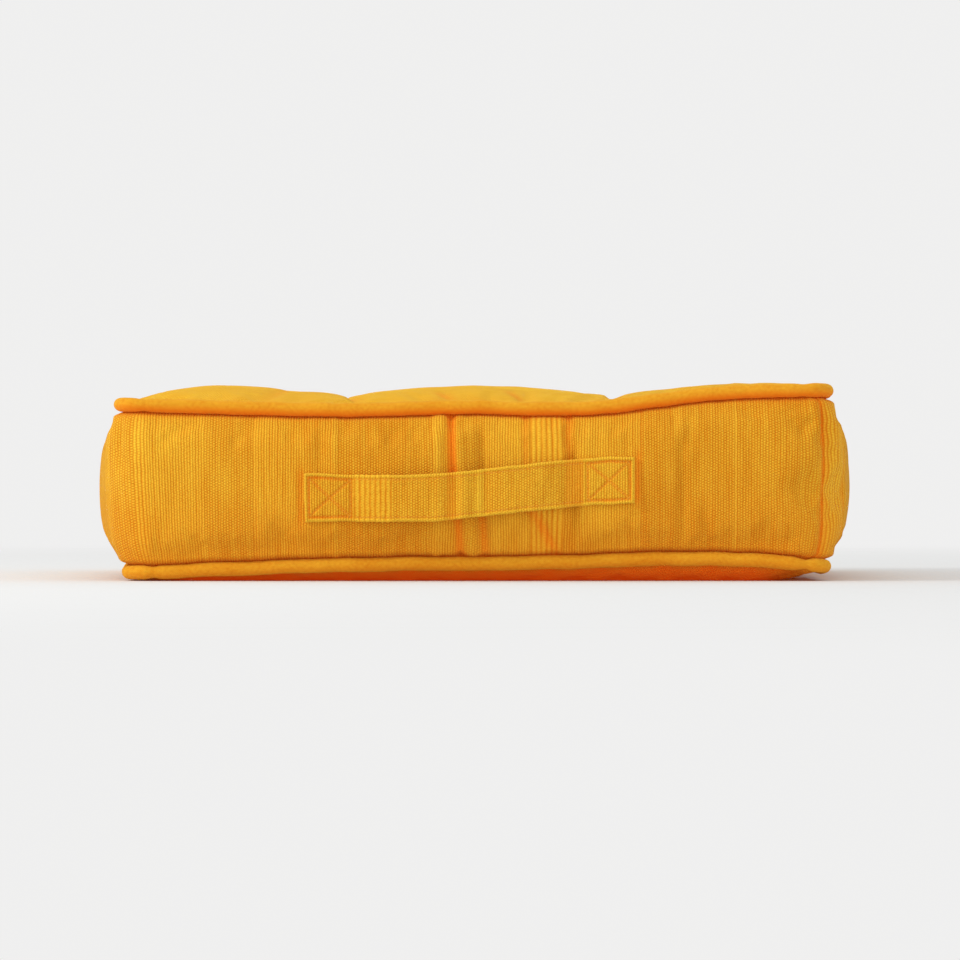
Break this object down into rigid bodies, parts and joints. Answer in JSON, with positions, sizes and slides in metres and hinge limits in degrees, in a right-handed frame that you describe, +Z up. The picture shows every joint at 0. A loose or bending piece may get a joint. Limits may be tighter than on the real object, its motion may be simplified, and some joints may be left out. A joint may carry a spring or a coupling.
{
  "type": "floor cushion",
  "caption": "Square fibre-filled floor cushion with piped edges, a tufted top and a fabric carry strap sewn to the front.",
  "frame": {"origin": "middle of the flat underside, on the floor", "axes": "+X to the right when facing the strap, +Y from the strap's side to the back, +Z up"},
  "size_m": [0.652, 0.652, 0.166],
  "materials": {
    "ribbed_cotton": "handwoven ribbed cotton, matte",
    "piping_cotton": "plain cotton cut on the bias, matte",
    "thread": "polyester sewing thread, slight sheen",
    "calico": "plain undyed calico",
    "fibre": "polyester fibre wadding",
    "cord": "twisted cotton cord"
  },
  "bodies": {
    "cushion": {"top_panel": "ribbed_cotton", "bottom_panel": "ribbed_cotton", "boxing_front_left": "ribbed_cotton", "boxing_right_back": "ribbed_cotton", "top_piping_cover": "piping_cotton", "bottom_piping_cover": "piping_cotton", "top_piping_cord": "cord", "bottom_piping_cord": "cord", "inner_bag": "calico", "fibre_fill": "fibre", "tuft_twine_front_left": "cord", "tuft_twine_front_right": "cord", "tuft_twine_back_left": "cord", "tuft_twine_back_right": "cord", "handle_tab_left": "ribbed_cotton", "handle_tab_right": "ribbed_cotton", "handle_stitch_left": "thread", "handle_stitch_right": "thread"},
    "carry_strap": {"handle_grip": "ribbed_cotton", "grip_stitch_upper": "thread", "grip_stitch_lower": "thread"}
  },
  "joints": [
    {"name": "handle_lift", "type": "slide", "parent": "cushion", "child": "carry_strap", "axis": [0, -1, 0], "range_m": [0, 0.022]}
  ]
}
